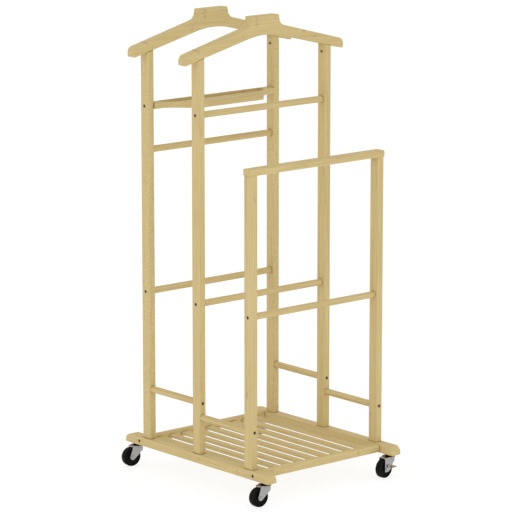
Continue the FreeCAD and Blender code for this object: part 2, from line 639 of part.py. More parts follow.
def caster_fork(caster):
    """The pressed fork: two arms under a round crown, with a raised race for the swivel.

    A braked fork has broader arms, so that the lever has a plate to turn on.
    """
    x, y, turn = swivel_place(caster)
    body = new_body(f"caster_{caster}_fork", x, y, ZERO, turn)
    top, axle_x, axle_z = dim("crown_top"), -dim("caster_trail"), dim("wheel_radius")
    braked = CASTERS[caster][3]
    knee_x, knee_z = dim("fork_knee_x"), dim("fork_knee_z")
    if braked:
        back, foot_z = -dim("braked_fork_back"), dim("plate_foot_z")
        lower = [(ZERO, dim("plate_high_z")), (dim("plate_low_x"), dim("plate_low_z")),
                 (-dim("plate_foot_x"), foot_z), (back, foot_z)]
    else:
        back, foot = -dim("fork_back"), dim("fork_foot_round")
        behind = tangent_point(axle_x, axle_z, foot, back, top, -1)
        ahead = tangent_point(axle_x, axle_z, foot, knee_x, knee_z, 1)
        lower = [ahead + (foot, 1), behind]
    arms = outline(body, "arm_outline", "XZ_Plane",
                   [(back, top), (dim("fork_front"), top), (knee_x, knee_z)] + lower)
    pad(body, "arms", arms, FORK_FACE * 2)
    if braked:
        low = float(foot_z)
        round_edges(body, "rounded_feet", dim("plate_round"),
                    lambda e: runs_along(e, 1, 10) and abs(e.CenterOfMass.z - low) < 1e-3)
    under = dim("crown_bottom")
    gap = outline(body, "wheel_gap", "XZ_Plane", [
        (-dim("wheel_radius") * 2, -ONE), (dim("wheel_radius"), -ONE),
        (dim("wheel_radius"), under), (-dim("wheel_radius") * 2, under)])
    pocket(body, "gap_for_the_wheel", gap, dim("fork_gap") * 2, "Symmetric")
    side, high = float(FORK_FACE), float(top)
    round_edges(body, "bent_shoulders", dim("fork_bend_round"),
                lambda e: runs_along(e, 0, 10) and abs(abs(e.CenterOfMass.y) - side) < 1e-3
                and abs(e.CenterOfMass.z - high) < 1e-3)
    round_feature(body, "Additive", "crown", (ZERO, ZERO, under), "+Z",
                  dim("crown_radius"), top - under)
    if not braked:
        round_feature(body, "Additive", "round_end", (-dim("fork_end_x"), ZERO, under), "+Z",
                      FORK_FACE - dim("fork_bend_round") / 3, top - under)
    race = body.newObject("PartDesign::AdditiveCone", "race")
    place(race, ZERO, ZERO, top)
    bind(race, Radius1=dim("race_foot_radius"), Radius2=dim("race_top_radius"),
         Height=dim("race_top") - top)
    round_feature(body, "Subtractive", "swivel_bore", (ZERO, ZERO, under - 1), "+Z",
                  dim("stem_radius") + dim("running_gap"), dim("race_top") - under + 2)
    round_feature(body, "Subtractive", "axle_bore", (axle_x, -FORK_FACE - 1, axle_z), "+Y",
                  dim("axle_radius") + dim("screw_gap"), FORK_FACE * 2 + 2)
    if braked:
        at = (axle_x + dim("pivot_x"), -FORK_FACE - 1, axle_z + dim("pivot_z"))
        round_feature(body, "Subtractive", "pivot_bore", at, "+Y",
                      dim("pivot_radius") + dim("screw_gap"), FORK_FACE * 2 + 2)


def tangent_point(centre_x, centre_z, radius, from_x, from_z, side):
    """Where a straight edge from a corner meets a round foot, on the +1 or -1 side of the way in."""
    run_x, run_z = float(from_x) - float(centre_x), float(from_z) - float(centre_z)
    reach = math.hypot(run_x, run_z)
    angle = math.atan2(run_z, run_x) - side * math.acos(float(radius) / reach)
    return centre_x + radius * math.cos(angle), centre_z + radius * math.sin(angle)


def caster_axle(caster):
    """The axle, headed over outside both arms."""
    x, y, turn = swivel_place(caster, -dim("caster_trail"))
    body = new_body(f"caster_{caster}_axle", x, y, dim("wheel_radius"), turn)
    half = FORK_FACE + dim("axle_head_height")
    round_feature(body, "Additive", "shaft", (ZERO, -half, ZERO), "+Y", dim("axle_radius"), half * 2)
    for name, start in (("near", -half), ("far", FORK_FACE)):
        round_feature(body, "Additive", f"head_{name}", (ZERO, start, ZERO), "+Y",
                      dim("axle_head"), dim("axle_head_height"))
    end = float(half)
    round_edges(body, "domed_heads", dim("axle_head_height") * 0.6, lambda e: lies_at(e, 1, (-end, end)))


def caster_wheel(caster):
    """A moulded wheel: round-shouldered tread, thin web, hub that keeps it off the arms."""
    x, y, turn = swivel_place(caster, -dim("caster_trail"))
    body = new_body(f"caster_{caster}_wheel", x, y, dim("wheel_radius"), turn)
    bore = dim("axle_radius") + dim("running_gap")
    hub, web, rim = dim("hub_half"), dim("web_half"), dim("wheel_half")
    hub_top, rim_foot, tread = dim("hub_radius"), dim("rim_radius"), dim("wheel_radius")
    shoulder = dim("tread_round")
    section = outline(body, "section", "YZ_Plane", [
        (-hub, bore), (-hub, hub_top), (-web, hub_top), (-web, rim_foot), (-rim, rim_foot),
        (-rim, tread - shoulder, shoulder, 1), (-rim + shoulder, tread),
        (rim - shoulder, tread, shoulder, 1), (rim, tread - shoulder),
        (rim, rim_foot), (web, rim_foot), (web, hub_top), (hub, hub_top), (hub, bore)])
    wheel = body.newObject("PartDesign::Revolution", "turned_wheel")
    wheel.Profile = section
    wheel.ReferenceAxis = (section, ["H_Axis"])
    wheel.Angle = 360
    section.Visibility = False


def brake_lever(caster):
    """A pressed lever that straddles the fork: two cheeks and the pedal across the front."""
    x, y, turn = swivel_place(caster, -dim("caster_trail"))
    body = new_body(f"brake_lever_{caster}", x, y, dim("wheel_radius"), turn)
    inside = FORK_FACE + dim("lever_gap")
    outside = inside + dim("lever_plate")
    pivot_x, pivot_z, eye = dim("pivot_x"), dim("pivot_z"), dim("lever_eye")
    half = dim("lever_plate") / 2
    slope = math.radians(60)
    above = (pivot_x + eye * math.cos(slope), pivot_z + eye * math.sin(slope))
    below = (pivot_x + eye * math.cos(slope), pivot_z - eye * math.sin(slope))
    behind = (pivot_x - eye, pivot_z)
    hole_x = dim("lever_hole_x")
    cheeks = outline(body, "cheek_outline", "XZ_Plane", [
        above, (hole_x, dim("lever_hole_z") + dim("lever_hole_radius") * 1.6),
        (dim("pedal_inner"), half), (dim("pedal_outer"), half),
        (dim("pedal_outer"), -half), (dim("pedal_inner"), -half - 1),
        (hole_x, dim("lever_hole_z") - dim("lever_hole_radius") * 1.6),
        below + (eye, 1), behind + (eye, 1)])
    pad(body, "cheeks", cheeks, outside * 2)
    gap = outline(body, "fork_clearance", "XZ_Plane", [
        (-dim("wheel_radius"), -dim("wheel_radius")), (dim("pedal_inner"), -dim("wheel_radius")),
        (dim("pedal_inner"), dim("wheel_radius")), (-dim("wheel_radius"), dim("wheel_radius"))])
    pocket(body, "gap_for_the_fork", gap, inside * 2, "Symmetric")
    round_feature(body, "Subtractive", "pivot_bore", (pivot_x, -outside - 1, pivot_z), "+Y",
                  dim("pivot_radius") + dim("running_gap"), outside * 2 + 2)
    round_feature(body, "Subtractive", "spring_hole", (hole_x, -outside - 1, dim("lever_hole_z")), "+Y",
                  dim("lever_hole_radius"), outside * 2 + 2)
    front = float(dim("pedal_outer"))
    round_edges(body, "pedal_corners", dim("lever_round"),
                lambda e: runs_along(e, 2, 0.5) and abs(e.CenterOfMass.x - front) < 1e-3)


def brake_rivets(caster):
    """The pair of rivets that the brake lever turns on, one through each arm of the fork."""
    gap = float(dim("fork_gap"))
    inner, outer = float(dim("pivot_inner_height")), float(dim("pivot_head_height"))
    head_start = float(FORK_FACE + dim("lever_gap") * 2 + dim("lever_plate"))
    along = FreeCAD.Vector(0, 1, 0)

    def slice_from(start, end, radius):
        return Part.makeCylinder(radius, end - start, FreeCAD.Vector(0, start, 0), along)

    rivet = slice_from(gap - inner, head_start + outer, float(dim("pivot_radius")))
    rivet = rivet.fuse([slice_from(gap - inner, gap, float(dim("pivot_inner_head"))),
                        slice_from(head_start, head_start + outer, float(dim("pivot_head")))])
    rivet = rivet.removeSplitter()
    x, y, turn = swivel_place(caster, dim("pivot_x") - dim("caster_trail"))
    at = (x, y, dim("wheel_radius") + dim("pivot_z"))
    fastener_group(f"brake_rivets_{caster}", rivet, [(at, turn), (at, turn * turned((0, 0, 1), 180))])


# ---- build, check and write --------------------------------------------------------------------------

def build():
    for side in SIDES:
        side_rail(side)
    for end, sign in (("front", -1), ("back", 1)):
        cross_member(end, sign)
    for number in range(1, DIMENSIONS["slat_count"] + 1):
        slat(number)
    for frame in FRAMES:
        for side in SIDES:
            post(frame, side)
    coat_hanger("back")
    coat_hanger("middle")
    front_top_rail()
    valet_tray()
    trouser_bars()
    side_rungs()
    fasteners()
    for caster, (_, _, _, braked) in CASTERS.items():
        caster_stem(caster)
        caster_fork(caster)
        caster_axle(caster)
        caster_wheel(caster)
        if braked:
            brake_lever(caster)
            brake_rivets(caster)


def check():
    """Stop if any feature failed or any sub-part is not a sound solid."""
    failed = [o.Name for o in doc.Objects if "Invalid" in o.State or "Error" in o.State]
    if failed:
        raise RuntimeError(f"did not build: {', '.join(failed)}")
    for label, thing in sub_parts.items():
        if thing.Shape.isNull() or not thing.Shape.isValid() or not thing.Shape.Solids:
            raise RuntimeError(f"{label} has no sound solid")


def write():
    os.makedirs("parts", exist_ok=True)
    for label, thing in sub_parts.items():
        thing.Shape.exportStep(os.path.join("parts", f"{label}.step"))


build()
doc.recompute()
check()
write()
print(f"{len(sub_parts)} sub-parts written")
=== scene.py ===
# %% [markdown]
# # A valet stand in pine, on four casters
#
# The stand is a clothes butler: two coat hangers on tall posts, a small tray between the tall
# posts at the back, a low frame at the front that trousers hang over, and a slatted shoe shelf
# on casters. The lesson starts from the finished construction, which arrives as fixed pieces in
# metres, and gives it what the construction lacks: sawn and sanded pine, zinc-plated steel,
# moulded wheels, pressed brake levers, soft light and a camera.

# %% The frame that everything is built round
import json
import math
import random

import bmesh
import bpy
from mathutils import Matrix, Vector


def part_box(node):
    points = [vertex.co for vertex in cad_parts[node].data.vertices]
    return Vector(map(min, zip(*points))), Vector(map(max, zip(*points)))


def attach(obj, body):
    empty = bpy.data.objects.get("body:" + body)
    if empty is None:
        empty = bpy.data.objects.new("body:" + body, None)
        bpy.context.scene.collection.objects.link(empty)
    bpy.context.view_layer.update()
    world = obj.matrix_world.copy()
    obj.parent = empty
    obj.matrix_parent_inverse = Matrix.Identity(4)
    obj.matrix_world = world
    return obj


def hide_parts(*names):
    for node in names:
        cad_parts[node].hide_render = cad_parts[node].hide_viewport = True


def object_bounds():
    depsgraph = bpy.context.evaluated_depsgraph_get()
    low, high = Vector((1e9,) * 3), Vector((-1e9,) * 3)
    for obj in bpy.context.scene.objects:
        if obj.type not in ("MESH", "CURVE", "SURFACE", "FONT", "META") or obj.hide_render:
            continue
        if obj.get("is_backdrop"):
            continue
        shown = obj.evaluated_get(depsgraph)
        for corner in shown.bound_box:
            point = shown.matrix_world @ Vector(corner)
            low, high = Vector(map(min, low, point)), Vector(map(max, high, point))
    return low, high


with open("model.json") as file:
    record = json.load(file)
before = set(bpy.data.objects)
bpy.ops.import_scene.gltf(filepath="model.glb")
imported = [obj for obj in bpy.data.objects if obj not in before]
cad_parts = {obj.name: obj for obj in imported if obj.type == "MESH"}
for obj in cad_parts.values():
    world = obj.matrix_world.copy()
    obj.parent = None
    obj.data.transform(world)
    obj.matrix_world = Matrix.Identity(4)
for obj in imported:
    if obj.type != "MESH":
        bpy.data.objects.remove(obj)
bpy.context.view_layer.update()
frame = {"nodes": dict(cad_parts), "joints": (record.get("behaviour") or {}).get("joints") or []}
joints = {joint["name"]: joint for joint in frame["joints"]}

# %% [markdown]
# ## The camera
#
# The stand is looked at from the front left and from a little above, through a long lens, as a
# furniture catalogue does it. A long lens from far away keeps the posts almost parallel. The
# camera could be turned by hand, but aiming it at a point is easier to repeat: the aim is a
# direction from the camera to a point just under the stand's middle.

# %% A long lens, aimed at the middle of the stand
camera_place = Vector((-4.533, -5.275, 1.912))
camera_aim = Vector((-0.0077, 0.0066, 0.4811))
LENS_LENGTH = 227.07

lens = bpy.data.cameras.new("catalogue_camera")
lens.lens = LENS_LENGTH
camera = bpy.data.objects.new("catalogue_camera", lens)
camera.location = camera_place
camera.rotation_euler = (camera_aim - camera_place).to_track_quat("-Z", "Y").to_euler()
bpy.context.scene.collection.objects.link(camera)
bpy.context.scene.camera = camera
print("the camera stands", round((camera_aim - camera_place).length, 2), "m away")

# %% [markdown]
# ## The room
#
# Furniture is often shown in a white tent: light comes evenly from all round, a little more of it
# from the front left, and the ground runs into the background without a horizon. A bright world
# does most of that work. The camera and mirror-like surfaces see it as pure white, while the wood
# is lit by a slightly dimmer version, so a pale board doesn't burn out.

# %% An even white tent
TENT_LIGHT = 0.90

scene = bpy.context.scene
scene.view_settings.view_transform = "Standard"
world = bpy.data.worlds.new("white_tent")
scene.world = world
world.use_nodes = True
tent = world.node_tree
backdrop = tent.nodes["Background"]
backdrop.inputs["Color"].default_value = (1, 1, 1, 1)


def seen_directly(tree):
    """1 where the camera, a mirror or glass looks at this surface, 0 where it only gives light."""
    path = tree.nodes.new("ShaderNodeLightPath")
    either = tree.nodes.new("ShaderNodeMath")
    either.operation = "MAXIMUM"
    tree.links.new(path.outputs["Is Camera Ray"], either.inputs[0])
    tree.links.new(path.outputs["Is Glossy Ray"], either.inputs[1])
    any_of_them = tree.nodes.new("ShaderNodeMath")
    any_of_them.operation = "MAXIMUM"
    tree.links.new(either.outputs[0], any_of_them.inputs[0])
    tree.links.new(path.outputs["Is Transmission Ray"], any_of_them.inputs[1])
    return any_of_them.outputs[0]


level = tent.nodes.new("ShaderNodeMapRange")
level.inputs["To Min"].default_value = TENT_LIGHT
level.inputs["To Max"].default_value = 1.0
tent.links.new(seen_directly(tent), level.inputs["Value"])
tent.links.new(level.outputs["Result"], backdrop.inputs["Strength"])
print("the tent shines at", TENT_LIGHT, "and looks white")

# %% [markdown]
# The floor is a light table: pale, matt and glowing a little from below, so that the undersides
# of bars and the gaps between slats aren't black. What the camera sees of it is mostly that glow,
# so the floor meets the white background without a line, and still darkens softly where the
# stand keeps light off it.

# %% A pale floor that keeps the shadow
# how strong each is where it only gives light, and where it is looked at
FLOOR_GLOW = (0.40, 0.80)
FLOOR_PAINT = (0.70, 0.26)
FLOOR_SIZE = 14

bpy.ops.mesh.primitive_plane_add(size=FLOOR_SIZE, location=(0, 0, 0))
floor = bpy.context.object
floor.name = "floor"
floor_paint = bpy.data.materials.new("floor_paint")
floor_paint.use_nodes = True
paint = floor_paint.node_tree
matt = paint.nodes["Principled BSDF"]
matt.inputs["Roughness"].default_value = 1.0
matt.inputs["Specular IOR Level"].default_value = 0.0
matt.inputs["Emission Color"].default_value = (1, 1, 1, 1)
for socket, (unseen, seen) in (("Emission Strength", FLOOR_GLOW), ("Base Color", FLOOR_PAINT)):
    mix = paint.nodes.new("ShaderNodeMapRange")
    mix.inputs["To Min"].default_value = unseen
    mix.inputs["To Max"].default_value = seen
    paint.links.new(seen_directly(paint), mix.inputs["Value"])
    paint.links.new(mix.outputs["Result"], matt.inputs[socket])
floor.data.materials.append(floor_paint)
floor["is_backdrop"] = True
print("the floor is", floor.dimensions.x, "m wide")

# %% [markdown]
# One large soft lamp at the front left gives the left and front faces a little more light than
# the tops, which is what makes the corners of the posts readable.

# %% A window at the front left
WINDOW_POWER = 12

window_light = bpy.data.lights.new("window", "AREA")
window_light.shape = "RECTANGLE"
window_light.size = 3.0
window_light.size_y = 2.4
window_light.energy = WINDOW_POWER
window = bpy.data.objects.new("window", window_light)
window.location = (-2.6, -3.0, 1.3)
window.rotation_euler = (Vector((0, 0, 0.5)) - window.location).to_track_quat("-Z", "Y").to_euler()
scene.collection.objects.link(window)
print("the window is", window_light.size, "by", window_light.size_y, "m")

# %% [markdown]
# ## Pine
#
# Every wooden part is planed and sanded pine with a clear matt finish. A flat print of a board
# wrapped round each part would do, but the grain would bend round corners. Wood is solid, so the
# pattern here is solid too: a log with growth rings round its pith, and each part is sawn out of
# it at its own place. Long faces then show lines, ends show arcs, and no two parts are alike.
# The log's own Z axis is the direction that the tree grew.
#
# Four layers are added up. The growth rings are faint, because this pine is slow-grown and pale.
# Streaks and fibres are noise drawn out along the trunk, at two widths. Flecks are fine and have
# no direction; they are what a coarse sander leaves on the back posts.

# %% A small helper for shader nodes
def add_node(tree, kind, label, **options):
    """A shader node with a name that says what it is for."""
    node = tree.nodes.new(kind)
    node.name = node.label = label
    for option, value in options.items():
        setattr(node, option, value)
    return node


def drawn_noise(tree, label, vector, stretch, scale, detail):
    """Noise on the log's own directions, drawn out along the trunk by a stretch below 1."""
    drawn = add_node(tree, "ShaderNodeMapping", f"{label}, drawn out", vector_type="POINT")
    drawn.inputs["Scale"].default_value = (1, 1, stretch)
    tree.links.new(vector, drawn.inputs["Vector"])
    noise = add_node(tree, "ShaderNodeTexNoise", label)
    noise.inputs["Scale"].default_value = scale
    noise.inputs["Detail"].default_value = detail
    noise.inputs["Roughness"].default_value = 0.6
    tree.links.new(drawn.outputs["Vector"], noise.inputs["Vector"])
    return noise.outputs["Fac"]


print("noise can be drawn out into fibres")

# %% A log that parts can be sawn from
RING_WIDTH = 0.0038
EARLY_WOOD = (0.755, 0.614, 0.320, 1)
LATE_WOOD = (0.456, 0.336, 0.130, 1)
# how much of the wood's tone each layer decides
LAYERS = {"late wood": 0.15, "streaks": 0.62, "fibres": 0.66, "clouds": 0.34, "flecks": 0.16}


def make_log(name):
    """Pine as a solid pattern. Its node named log holds where the pith lies and which way it runs."""
    wood = bpy.data.materials.new(name)
    wood.use_nodes = True
    tree = wood.node_tree
    link = tree.links.new
    surface = tree.nodes["Principled BSDF"]
    place = add_node(tree, "ShaderNodeTexCoord", "place")
    log = add_node(tree, "ShaderNodeMapping", "log", vector_type="TEXTURE")
    link(place.outputs["Object"], log.inputs["Vector"])
    inside = log.outputs["Vector"]

    slow = add_node(tree, "ShaderNodeMapping", "rings wander slowly", vector_type="POINT")
    slow.inputs["Scale"].default_value = (1, 1, 0.12)
    link(inside, slow.inputs["Vector"])
    rings = add_node(tree, "ShaderNodeTexWave", "growth rings", wave_type="RINGS",
                     rings_direction="Z", wave_profile="SAW")
    # a wave texture of scale 1 repeats every pi / 10 metres
    rings.inputs["Scale"].default_value = math.pi / 10 / RING_WIDTH
    rings.inputs["Distortion"].default_value = 10.0
    rings.inputs["Detail"].default_value = 3.0
    rings.inputs["Detail Scale"].default_value = 0.30
    rings.inputs["Detail Roughness"].default_value = 0.65
    link(slow.outputs["Vector"], rings.inputs["Vector"])
    late = add_node(tree, "ShaderNodeMapRange", "late wood", interpolation_type="SMOOTHSTEP")
    late.inputs["From Min"].default_value = 0.25
    late.inputs["From Max"].default_value = 0.97
    link(rings.outputs["Fac"], late.inputs["Value"])
    fibres = drawn_noise(tree, "fibres", inside, 0.030, 640, 4)
    layers = {
        "late wood": late.outputs["Result"],
        "streaks": drawn_noise(tree, "streaks", inside, 0.022, 210, 3),
        "fibres": fibres,
        "clouds": drawn_noise(tree, "clouds", inside, 0.15, 24, 2),
        "flecks": drawn_noise(tree, "flecks", inside, 1.0, 430, 2),
    }

    # each layer darkens the wood by its own share; half way is the wood's middle tone
    tone = None
    for layer, share in LAYERS.items():
        weigh = add_node(tree, "ShaderNodeMath", f"share of {layer}", operation="MULTIPLY_ADD")
        weigh.inputs[1].default_value = share
        weigh.inputs[2].default_value = (0.5 if tone is None else 0.0) - share / 2
        link(layers[layer], weigh.inputs[0])
        if tone is None:
            tone = weigh.outputs[0]
        else:
            add = add_node(tree, "ShaderNodeMath", f"with {layer}", operation="ADD")
            link(tone, add.inputs[0])
            link(weigh.outputs[0], add.inputs[1])
            tone = add.outputs[0]
    colour = add_node(tree, "ShaderNodeValToRGB", "from early to late wood")
    colour.color_ramp.elements[0].color = EARLY_WOOD
    colour.color_ramp.elements[1].color = LATE_WOOD
    link(tone, colour.inputs["Fac"])
    link(colour.outputs["Color"], surface.inputs["Base Color"])

    sheen = add_node(tree, "ShaderNodeMapRange", "matt finish")
    sheen.inputs["To Min"].default_value = 0.48
    sheen.inputs["To Max"].default_value = 0.66
    link(fibres, sheen.inputs["Value"])
    link(sheen.outputs["Result"], surface.inputs["Roughness"])
    surface.inputs["Specular IOR Level"].default_value = 0.06
    relief = add_node(tree, "ShaderNodeBump", "sanded relief")
    relief.inputs["Strength"].default_value = 0.25
    relief.inputs["Distance"].default_value = 0.0003
    link(fibres, relief.inputs["Height"])
    link(relief.outputs["Normal"], surface.inputs["Normal"])
    return wood


pine = make_log("pine")
print("pine has rings", RING_WIDTH * 1000, "mm apart and", len(LAYERS), "layers")

# %% [markdown]
# Colour is changed after the wood's own: a knot, or the shade painted into a corner, sits on top of
# the grain. So one helper takes what feeds the surface's colour, mixes another colour over it, and
# feeds the result to the surface. It can be called many times on one material.

# %% Mixing a colour over the wood
def mix_over(wood, label, factor, colour, blend="MIX"):
    """Mixes a colour over a material's colour, as much as the factor's output says."""
    tree = wood.node_tree
    surface = tree.nodes["Principled BSDF"]
    under = surface.inputs["Base Color"].links[0].from_socket
    mix = add_node(tree, "ShaderNodeMix", label, data_type="RGBA", blend_type=blend)
    tree.links.new(factor, mix.inputs["Factor"])
    tree.links.new(under, mix.inputs["A"])
    mix.inputs["B"].default_value = colour
    tree.links.new(mix.outputs["Result"], surface.inputs["Base Color"])


print("colours can be mixed over the wood")

# %% [markdown]
# Where two parts meet, each joint lies in a thin line of shade, and that shade is painted into the
# wood's colour as brown. It could be painted on joint by joint. Ambient occlusion finds the same
# places by itself: it measures how closed in a point is, here within a few millimetres. The
# helper is used again for the shelf, with a darker painted shade in its narrow gaps.

# %% Painted shade in the corners
CORNER_REACH = 0.005
# the browns of the painted shade, in the stand's corners and in the shelf's narrow gaps
CORNER_SHADE_BROWN = (0.62, 0.50, 0.35, 1)
SHELF_REACH = 0.002
SHELF_SHADE_BROWN = (0.22, 0.175, 0.13, 1)


def darken_corners(wood, reach, brown):
    """Paints shade: multiplies the wood by a brown wherever another face is within reach, in metres.
    """
    nook = add_node(wood.node_tree, "ShaderNodeAmbientOcclusion", "how open it is", samples=8)
    nook.inputs["Distance"].default_value = reach
    closed = add_node(wood.node_tree, "ShaderNodeMapRange", "how closed it is")
    closed.inputs["From Min"].default_value = 0.85
    closed.inputs["From Max"].default_value = 0.35
    wood.node_tree.links.new(nook.outputs["AO"], closed.inputs["Value"])
    mix_over(wood, "finish in the corners", closed.outputs["Result"], brown, "MULTIPLY")


darken_corners(pine, CORNER_REACH, CORNER_SHADE_BROWN)
print("corners are brown within", CORNER_REACH * 1000, "mm")

# %% [markdown]
# Every part is cut from its own place in the log. The pith lies some centimetres off to one side,
# turned a degree or so against the part, because trees don't grow straight. The back posts are
# sanded across the grain and show more flecks than streaks.

# %% Sawing the wooden parts
# the turn that lays the log along each direction of the stand
LAID_ALONG = {"X": (0, math.pi / 2, 0), "Y": (-math.pi / 2, 0, 0), "Z": (0, 0, 0)}
GRAIN = {
    "X": ["cross_member_", "coat_hanger_", "front_top_rail", "valet_tray", "upper_bar_", "lower_bar_"],
    "Y": ["side_rail_", "slat_", "rung_"],
    "Z": ["post_back_", "post_middle_", "post_front_", "top_rail_dowels"],
}


def weigh_layer(wood, layer, share):
    """Gives one layer of a part's own wood another share."""
    weigh = wood.node_tree.nodes[f"share of {layer}"]
    weigh.inputs[2].default_value += (weigh.inputs[1].default_value - share) / 2
    weigh.inputs[1].default_value = share


def saw(part, direction):
    """Gives a wooden part the pine, cut at a place of its own."""
    low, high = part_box(part.name)
    cut = pine.copy()
    cut.name = f"pine_{part.name}"
    log = cut.node_tree.nodes["log"]
    away = random.uniform(0.035, 0.07)
    bearing = random.uniform(0, 2 * math.pi)
    across = [axis for axis in range(3) if axis != "XYZ".index(direction)]
    pith = (low + high) / 2
    pith[across[0]] += away * math.cos(bearing)
    pith[across[1]] += away * math.sin(bearing)
    log.inputs["Location"].default_value = pith
    lean = [turn + math.radians(random.uniform(-0.8, 0.8)) for turn in LAID_ALONG[direction]]
    log.inputs["Rotation"].default_value = lean
    if part.name.startswith(("side_rail_", "cross_member_", "slat_")):
        # the shelf gets a darker painted shade, in the narrow gaps between its slats
        darken_corners(cut, SHELF_REACH, SHELF_SHADE_BROWN)
    if part.name.startswith("coat_hanger_"):
        weigh_layer(cut, "streaks", 0.72)
    if part.name.startswith("post_back_"):
        weigh_layer(cut, "flecks", 1.45)
        weigh_layer(cut, "streaks", 0.25)
        weigh_layer(cut, "fibres", 0.40)
    part.data.materials.clear()
    part.data.materials.append(cut)


random.seed(11)
sawn = 0
for direction, starts in GRAIN.items():
    for name in sorted(frame["nodes"]):
        if name.startswith(tuple(starts)) and not name.endswith("_screws"):
            saw(frame["nodes"][name], direction)
            sawn += 1
print(sawn, "wooden parts sawn")

# %% [markdown]
# A knot is a branch that the trunk grew round: on a board's face it is a brown oval, drawn out a
# little along the grain, and it comes out again on the far face. A distance from the branch's own
# line, measured shorter along the branch, gives that shape in a solid pattern. The places are
# shares of each part's box, so they stay on the part whatever its size.

# %% Knots, where branches were
KNOT_BROWN = (0.36, 0.215, 0.095, 1)
# part: (the branch's direction, shares along the other two axes,
#        radii across and along in mm, how strong)
KNOTS = {
    "coat_hanger_back": [("Y", 0.441, 0.965, 3.4, 3.4, 0.36), ("Y", 0.441, 0.800, 4.2, 3.2, 0.46),
                         ("Y", 0.441, 0.880, 2.2, 8.0, 0.20), ("Y", 0.078, 0.335, 3.0, 5.0, 0.46),
                         ("Y", 0.358, 0.535, 4.0, 3.6, 0.44)],
    "coat_hanger_middle": [("Y", 0.443, 0.965, 3.4, 3.4, 0.36), ("Y", 0.443, 0.800, 4.2, 3.2, 0.46),
                           ("Y", 0.443, 0.880, 2.2, 8.0, 0.20), ("Y", 0.082, 0.330, 3.0, 5.0, 0.52),
                           ("Y", 0.745, 0.520, 4.5, 4.0, 0.42), ("Y", 0.811, 0.365, 3.2, 3.0, 0.50),
                           ("Y", 0.358, 0.535, 3.4, 3.2, 0.30)],
    "post_front_left": [("Y", 0.382, 0.932, 1.4, 16, 0.40), ("Y", 0.617, 0.918, 1.8, 6, 0.45),
                        ("X", 0.580, 0.259, 2.4, 9, 0.60), ("X", 0.250, 0.700, 1.6, 22, 0.25)],
    "post_front_right": [("X", 0.500, 0.991, 3.0, 5, 0.55), ("X", 0.172, 0.923, 1.6, 18, 0.40),
                         ("X", 0.776, 0.095, 3.5, 4, 0.45)],
    "post_middle_right": [("X", 0.204, 0.676, 1.8, 14, 0.45)],
    "post_middle_left": [("Y", 0.406, 0.816, 1.8, 9, 0.40)],
    "side_rail_left": [("X", 0.471, 0.547, 3.0, 3.4, 0.40), ("X", 0.205, 0.526, 2.4, 4.2, 0.40)],
    "cross_member_front": [("Y", 0.812, 0.497, 2.6, 5.0, 0.45), ("Y", 0.066, 0.709, 5.0, 2.6, 0.50)],
    # the tray's two marks are dark brown spots near the right end of its trough, mixed in the same way
    # as knots
    "valet_tray": [("Z", 0.865, 0.700, 5.0, 2.4, 0.70), ("Z", 0.790, 0.960, 3.0, 1.6, 0.60)],
}


def add_knot(part, branch, first, second, across, along, strength):
    """Mixes one knot into a part's own wood. Its two radii lie along the part's two other axes."""
    wood = part.data.materials[0]
    tree = wood.node_tree
    low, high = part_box(part.name)
    middle = (low + high) / 2
    radii = high - low
    faces = [axis for axis in range(3) if axis != "XYZ".index(branch)]
    for axis, share, radius in zip(faces, (first, second), (across, along)):
        middle[axis] = low[axis] + (high[axis] - low[axis]) * share
        radii[axis] = radius / 1000
    knot = add_node(tree, "ShaderNodeMapping", "knot", vector_type="TEXTURE")
    knot.inputs["Location"].default_value = middle
    knot.inputs["Scale"].default_value = radii
    tree.links.new(tree.nodes["place"].outputs["Object"], knot.inputs["Vector"])
    away = add_node(tree, "ShaderNodeVectorMath", "how far from the branch", operation="LENGTH")
    tree.links.new(knot.outputs["Vector"], away.inputs[0])
    ragged = add_node(tree, "ShaderNodeMath", "ragged edge", operation="MULTIPLY_ADD")
    ragged.inputs[1].default_value = 0.9
    tree.links.new(tree.nodes["fibres"].outputs["Fac"], ragged.inputs[0])
    tree.links.new(away.outputs["Value"], ragged.inputs[2])
    inside = add_node(tree, "ShaderNodeMapRange", "inside the knot", interpolation_type="SMOOTHSTEP")
    inside.inputs["From Min"].default_value = 2.3
    inside.inputs["From Max"].default_value = 0.5
    inside.inputs["To Max"].default_value = strength
    tree.links.new(ragged.outputs[0], inside.inputs["Value"])
    mix_over(wood, "knot wood", inside.outputs["Result"], KNOT_BROWN)


for name, knots in KNOTS.items():
    for knot in knots:
        add_knot(frame["nodes"][name], *knot)
print(sum(len(knots) for knots in KNOTS.values()), "knots in", len(KNOTS), "parts")

# %% [markdown]
# ## Metal and plastic
#
# The casters are bought in: a fork pressed from zinc-plated sheet, and a wheel moulded in black
# plastic. The screws are blackened steel. A metal is mostly what it reflects, so its own colour
# stays plain and the noise goes into the roughness, where plating is really uneven, and into a
# very low relief.

